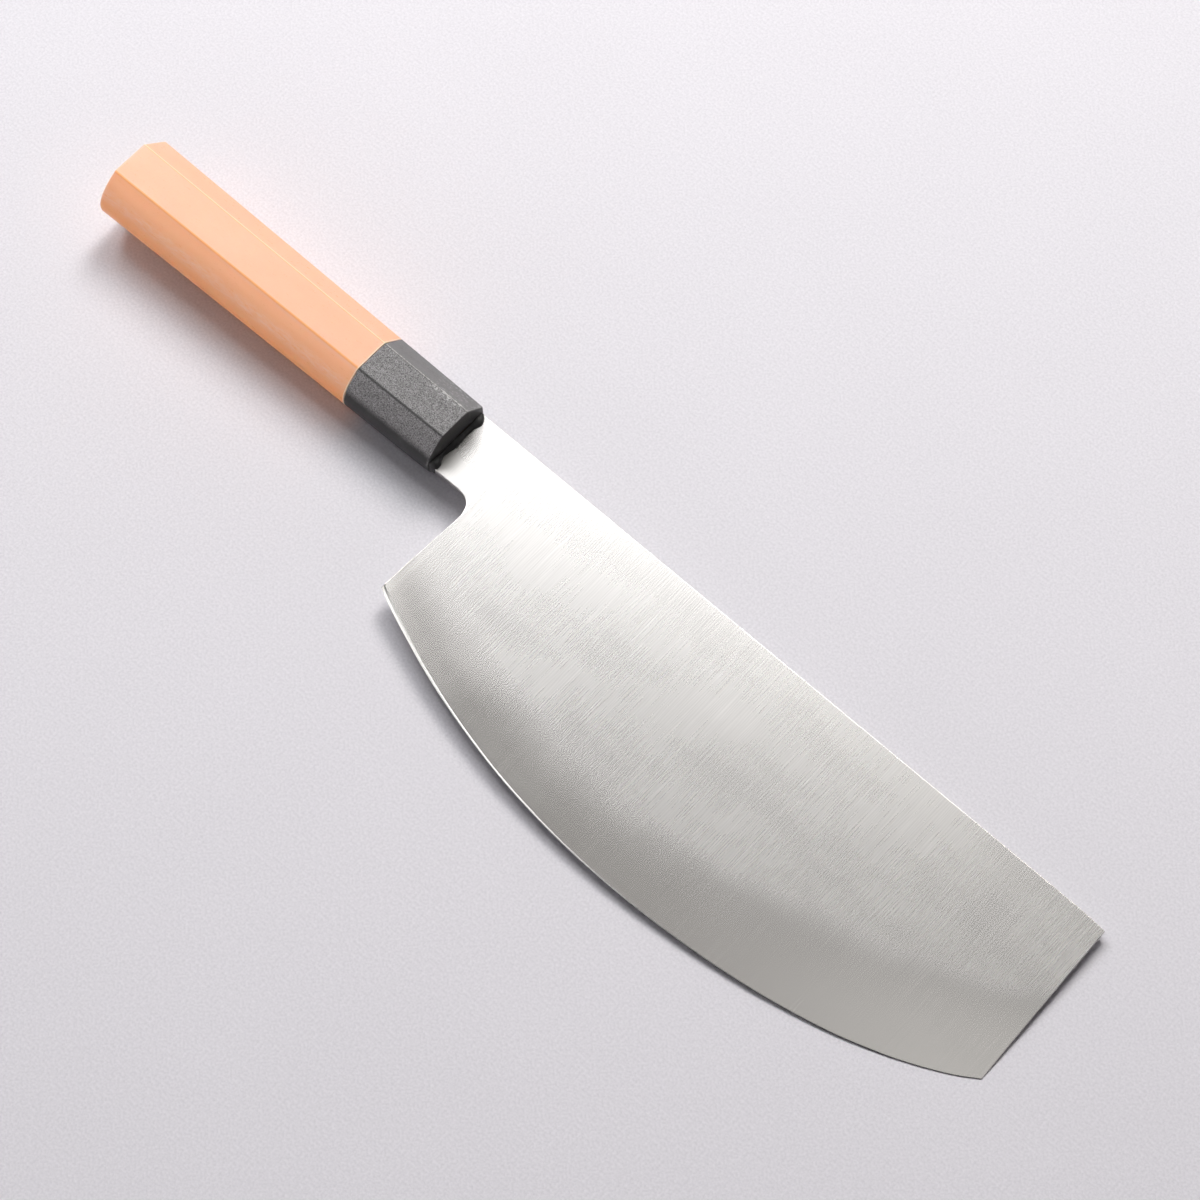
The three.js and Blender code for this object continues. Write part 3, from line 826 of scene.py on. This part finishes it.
def ferrule_material():
    k = Nodes("charcoal_resin")
    p = k.own_mm()
    xyz = k.add("ShaderNodeSeparateXYZ", {"Vector": p})
    x, y, z = xyz.outputs[0], xyz.outputs[1], xyz.outputs[2]
    grain = k.noise(p, 2.5, 2.0, 0.7)
    speck = k.noise(k.stretch(p, (1, 1, 1), (7.3, 1.9, 4.1)), 4.0, 1.0, 0.5)
    blotch = k.noise(p, 0.3, 2.0, 0.5)
    # spark-eroded texture on the broad flats and next to them; the far bevels, the middle of the bowed side and the end
    # face are smoother. The smooth middle of the bowed side is also coloured near black, partly its own darker tone and
    # partly painted shade
    side = k.remap(k.math("ABSOLUTE", z), 3.6, 6.4, 0.0, 1.0, "SMOOTHSTEP")
    far = k.remap(y, 5.6, 6.0, 0.0, 1.0)
    rough_zone = k.math("MULTIPLY", side, k.math("SUBTRACT", 1.0, far))
    pits = k.math("ADD", k.math("MULTIPLY", grain, 0.6), k.math("MULTIPLY", speck, 0.4))
    tone = k.math("MULTIPLY", k.remap(pits, 0.345, 0.655, 0.0, 1.0), rough_zone)
    plain = k.math("MULTIPLY_ADD", k.math("SUBTRACT", pits, 0.5), 0.5, 0.42)
    tone = k.math("MULTIPLY_ADD", plain, far, tone)
    tone = k.math("MULTIPLY_ADD", k.math("SUBTRACT", blotch, 0.5), 0.16, tone, clamp=True)
    col = k.mix(tone, (0.018, 0.0177, 0.0177, 1), (0.39, 0.381, 0.382, 1))
    corner, rim = k.attr("corner"), k.attr("rim")
    painted_near_edge = k.math("SUBTRACT", 1.0, k.math("ABSOLUTE", k.math("SUBTRACT", corner, 1.0)), clamp=True)
    painted_far_highlight = k.math("SUBTRACT", 1.0, k.math("ABSOLUTE", k.math("SUBTRACT", corner, 2.0)), clamp=True)
    # painted shade: a dark line along the near edges
    col = k.mix(k.math("MULTIPLY", painted_near_edge, 0.85), col, (0.03, 0.03, 0.03, 1))
    # painted highlight: a pale line along the far edges, broken up by the grain
    col = k.mix(k.math("MULTIPLY", painted_far_highlight, k.remap(grain, 0.35, 0.6, 0.15, 0.85)), col, (0.52, 0.51, 0.49, 1))
    # knocks on the far edge, towards the front
    knock = k.remap(k.noise(k.stretch(p, (0.8, 1.3, 1.3), (2.2, 6.1, 0.4)), 1.0, 3.0, 0.65), 0.54, 0.62, 0.0, 0.75)
    knock = k.math("MULTIPLY", knock, k.math("MULTIPLY", k.remap(x, -18.0, -12.0, 0.0, 1.0), k.math("MULTIPLY", k.remap(y, 3.4, 5.0, 0.0, 1.0), k.remap(y, 5.4, 6.4, 1.0, 0.35))))
    col = k.mix(knock, col, (0.66, 0.65, 0.64, 1))
    # the eased end rims are lightened in patches broken up by noise
    rim_lightening = k.math("MULTIPLY", rim, k.remap(blotch, 0.42, 0.6, 0.0, 0.7))
    col = k.mix(k.math("MULTIPLY", rim_lightening, k.remap(speck, 0.4, 0.6, 0.2, 1.0)), col, (0.42, 0.41, 0.40, 1))
    face = k.remap(x, -0.3, -0.02, 0.0, 1.0)
    col = k.mix(face, col, (0.075, 0.075, 0.071, 1))
    rough = k.math("ADD", k.remap(speck, 0.3, 0.7, 0.36, 0.46), k.math("MULTIPLY", rough_zone, 0.1))
    normal = k.bump(k.math("MULTIPLY", pits, k.math("MULTIPLY_ADD", rough_zone, 0.85, 0.15)), 0.7, 0.00015)
    b = k.add("ShaderNodeBsdfPrincipled", {"Base Color": col, "Roughness": rough, "Normal": normal})
    b.inputs["Specular IOR Level"].default_value = 0.32
    return k.finish(b)


def seal_material():
    k = Nodes("black_sealant")
    p = k.own_mm()
    lump = k.noise(p, 1.4, 3.0, 0.6)
    col = k.mix(lump, (0.006, 0.006, 0.006, 1), (0.02, 0.019, 0.018, 1))
    rough = k.remap(lump, 0.3, 0.7, 0.38, 0.6)
    normal = k.bump(lump, 0.6, 0.00015)
    b = k.add("ShaderNodeBsdfPrincipled", {"Base Color": col, "Roughness": rough, "Normal": normal})
    return k.finish(b)


def bed_material():
    k = Nodes("amber_adhesive")
    p = k.own_mm()
    cloud = k.noise(p, 0.35, 3.0, 0.6)
    col = k.mix(cloud, (0.34, 0.22, 0.07, 1), (0.6, 0.44, 0.2, 1))
    rough = k.remap(cloud, 0.3, 0.7, 0.35, 0.55)
    normal = k.bump(cloud, 0.4, 0.0002)
    b = k.add("ShaderNodeBsdfPrincipled", {"Base Color": col, "Roughness": rough, "Normal": normal})
    return k.finish(b)


def floor_material():
    k = Nodes("pale_paper")
    tc = k.add("ShaderNodeTexCoord")
    fibre = k.noise(tc.outputs["Object"], 1300.0, 1.0, 0.6)
    cloud = k.noise(tc.outputs["Object"], 14.0, 2.0, 0.5)
    fac = k.math("ADD", k.math("MULTIPLY", fibre, 0.9), k.math("MULTIPLY", cloud, 0.1), clamp=True)
    col = k.mix(fac, (0.67, 0.655, 0.695, 1), (0.95, 0.93, 0.975, 1))
    normal = k.bump(fibre, 0.1, 0.0001)
    b = k.add("ShaderNodeBsdfPrincipled", {"Base Color": col, "Normal": normal})
    b.inputs["Roughness"].default_value = 0.85
    b.inputs["Specular IOR Level"].default_value = 0.2
    return k.finish(b)


for ob, mat, node, slot in (
    (blade, steel_material(), "blade", "blade_steel"),
    (ferrule, ferrule_material(), "ferrule", "ferrule_resin"),
    (grip, grip_material(), "handle_grip", "grip_resin"),
    (seal, seal_material(), "neck_seal", "seal_resin"),
):
    ob.data.materials.append(mat)
    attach(ob, "root")
    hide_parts(node)

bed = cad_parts["tang_bed"]
bed.data.materials.clear()
bed.data.materials.append(bed_material())

# ---------------------------------------------------------------------------
# Floor, light and camera
# ---------------------------------------------------------------------------
me = bpy.data.meshes.new("floor")
radii = [0.0, 0.1, 0.2, 0.4, 0.8, 1.4, 2.0, 2.6, 3.0] + [3.0 + 0.8 * math.sin(a) for a in np.linspace(0, math.pi / 2, 13)[1:]] + [3.8, 3.8]
rise = [0.0] * 9 + [0.8 * (1 - math.cos(a)) for a in np.linspace(0, math.pi / 2, 13)[1:]] + [1.2, 1.7]
turns = 72
grid = [(0.0, 0.0, 0.0)] + [(r * math.cos(t * 2 * math.pi / turns), r * math.sin(t * 2 * math.pi / turns), z)
                            for r, z in zip(radii[1:], rise[1:]) for t in range(turns)]
quads = [(0, 1 + t, 1 + (t + 1) % turns) for t in range(turns)]
for i in range(len(radii) - 2):
    for t in range(turns):
        a, b = 1 + i * turns + t, 1 + i * turns + (t + 1) % turns
        quads.append((a, a + turns, b + turns, b))
me.from_pydata(grid, [], quads)
me.polygons.foreach_set("use_smooth", [True] * len(me.polygons))
floor = bpy.data.objects.new("floor", me)
floor.location = (0, 0, -0.00005)
me.materials.append(floor_material())
bpy.context.scene.collection.objects.link(floor)


def softbox(name, place, aim, size, radiance, colour, fade=0.45):
    """An area light that fades out towards its rim, as a diffuser does."""
    light = bpy.data.lights.new(name, "AREA")
    light.shape = "RECTANGLE"
    light.size, light.size_y = size
    light.energy = radiance * math.pi * size[0] * size[1]
    light.color = colour
    light.use_nodes = True
    t = light.node_tree
    emit = next(n for n in t.nodes if n.type == "EMISSION")
    geo = t.nodes.new("ShaderNodeNewGeometry")
    split = t.nodes.new("ShaderNodeSeparateXYZ")
    t.links.new(geo.outputs["Parametric"], split.inputs[0])
    last = None
    for axis in ("X", "Y"):
        for lo, hi in ((0.0, fade), (1.0, 1.0 - fade)):
            ramp = t.nodes.new("ShaderNodeMapRange")
            ramp.interpolation_type = "SMOOTHSTEP"
            ramp.inputs["From Min"].default_value, ramp.inputs["From Max"].default_value = lo, hi
            t.links.new(split.outputs[axis], ramp.inputs["Value"])
            if last is None:
                last = ramp.outputs[0]
                continue
            times = t.nodes.new("ShaderNodeMath")
            times.operation = "MULTIPLY"
            t.links.new(last, times.inputs[0])
            t.links.new(ramp.outputs[0], times.inputs[1])
            last = times.outputs[0]
    t.links.new(last, emit.inputs["Strength"])
    ob = bpy.data.objects.new(name, light)
    ob.location = place
    ob.rotation_euler = (Vector(aim) - Vector(place)).to_track_quat("-Z", "Y").to_euler()
    ob.visible_camera = False
    bpy.context.scene.collection.objects.link(ob)
    return ob


def round_about(azimuth, elevation, reach=1.7):
    a, e = math.radians(azimuth), math.radians(elevation)
    return (reach * math.cos(e) * math.cos(a), reach * math.cos(e) * math.sin(a), reach * math.sin(e))


# a long key behind the handle and the spine, a fill in front, and panels overhead, each at a height of its own;
# the low fills are flagged off the floor, so that they do not wash out the shadow
flag = bpy.data.collections.new("flagged_off")
flag.objects.link(floor)
flag.collection_objects[0].light_linking.link_state = "EXCLUDE"
for name, azimuth, elevation, reach, size, radiance, colour, fade in (
    ("key_middle", 110, 48, 1.7, (0.9, 0.75), 13.5, (1.0, 0.965, 0.935), 0.3),
    ("key_butt", 160, 48, 1.7, (0.9, 0.75), 7.7, (0.965, 0.975, 1.0), 0.3),
    ("key_high", 110, 62, 1.6, (0.9, 0.6), 3.45, (1.0, 0.97, 0.95), 0.5),
    ("fill_low", 240, 28, 1.7, (0.9, 0.7), 7.6, (1.0, 0.95, 0.95), 0.5),
    ("fill_near", 250, 7, 1.7, (1.2, 0.3), 6.5, (1.0, 0.96, 0.94), 0.5),
    ("fill_high", 225, 64, 1.5, (0.6, 0.38), 6.6, (0.97, 0.99, 1.0), 0.5),
    ("fill_heel", 210, 53, 1.63, (0.5, 0.36), 5.5, (1.0, 0.99, 0.98), 0.5),
):
    box = softbox(name, round_about(azimuth, elevation, reach), (0, 0, 0), size, radiance, colour, fade)
    if name in ("fill_low", "fill_near", "fill_heel"):
        box.light_linking.receiver_collection = flag
# panels turned outwards wash the rim of the backdrop all round, so that the steel has something pale to mirror
for i in range(6):
    a = math.radians(60 * i + 15)
    softbox("wash_%d" % i, (2.0 * math.cos(a), 2.0 * math.sin(a), 1.15), (3.8 * math.cos(a), 3.8 * math.sin(a), 0.7),
            (1.7, 0.5), 12.5, (1.0, 0.985, 0.98), 0.4)
for name, x, y, z, radiance, colour in (
    ("top_back", -0.20, 0.75, 1.25, 10.0, (0.98, 1.0, 0.988)),
    ("top_left", -0.90, 0.16, 1.26, 9.4, (1.0, 0.98, 0.96)),
    ("top_middle", -0.55, 0.55, 1.27, 7.6, (0.97, 0.98, 1.0)),
    ("top_right_back", 0.15, 0.25, 1.25, 0.86, (1.0, 0.985, 0.96)),
    ("top_right", 0.15, 0.10, 1.27, 0.66, (1.0, 0.99, 0.97)),
    ("top_near", -0.20, 0.10, 1.29, 0.36, (1.0, 0.96, 0.92)),
    ("top_front", 0.12, -0.24, 1.31, 1.3, (1.0, 0.985, 0.97)),
):
    softbox(name, (x, y, z), (x, y, 0), (0.7, 0.4), radiance, colour, 0.5)

world = bpy.data.worlds.new("studio")
bpy.context.scene.world = world
world.use_nodes = True
bg = world.node_tree.nodes["Background"]
bg.inputs["Color"].default_value = (0.92, 0.94, 1.0, 1)
bg.inputs["Strength"].default_value = 0.005

RIGHT = Vector((0.7410126317161005, 0.6714888795450639, -0.0017217097589324252))
DOWN = Vector((0.5945666150970956, -0.6573133971146726, -0.46306547937149356))
AHEAD = Vector((-0.31207502278965144, 0.3421136983823999, -0.8863224004446437))
cam_data = bpy.data.cameras.new("camera")
cam_data.lens, cam_data.sensor_width = 105.0, 36.0
cam_data.sensor_fit = "HORIZONTAL"
cam_data.clip_start, cam_data.clip_end = 0.01, 50
cam = bpy.data.objects.new("camera", cam_data)
place = Vector((0.3338574854602959, -0.33003079762157556, 0.9143117993077667))
m = Matrix((RIGHT, -DOWN, -AHEAD)).transposed().to_4x4()
m.translation = place
cam.matrix_world = m
bpy.context.scene.collection.objects.link(cam)
bpy.context.scene.camera = cam

bpy.context.scene.view_settings.view_transform = "Standard"
bpy.context.scene.view_settings.look = "None"

bpy.context.view_layer.update()
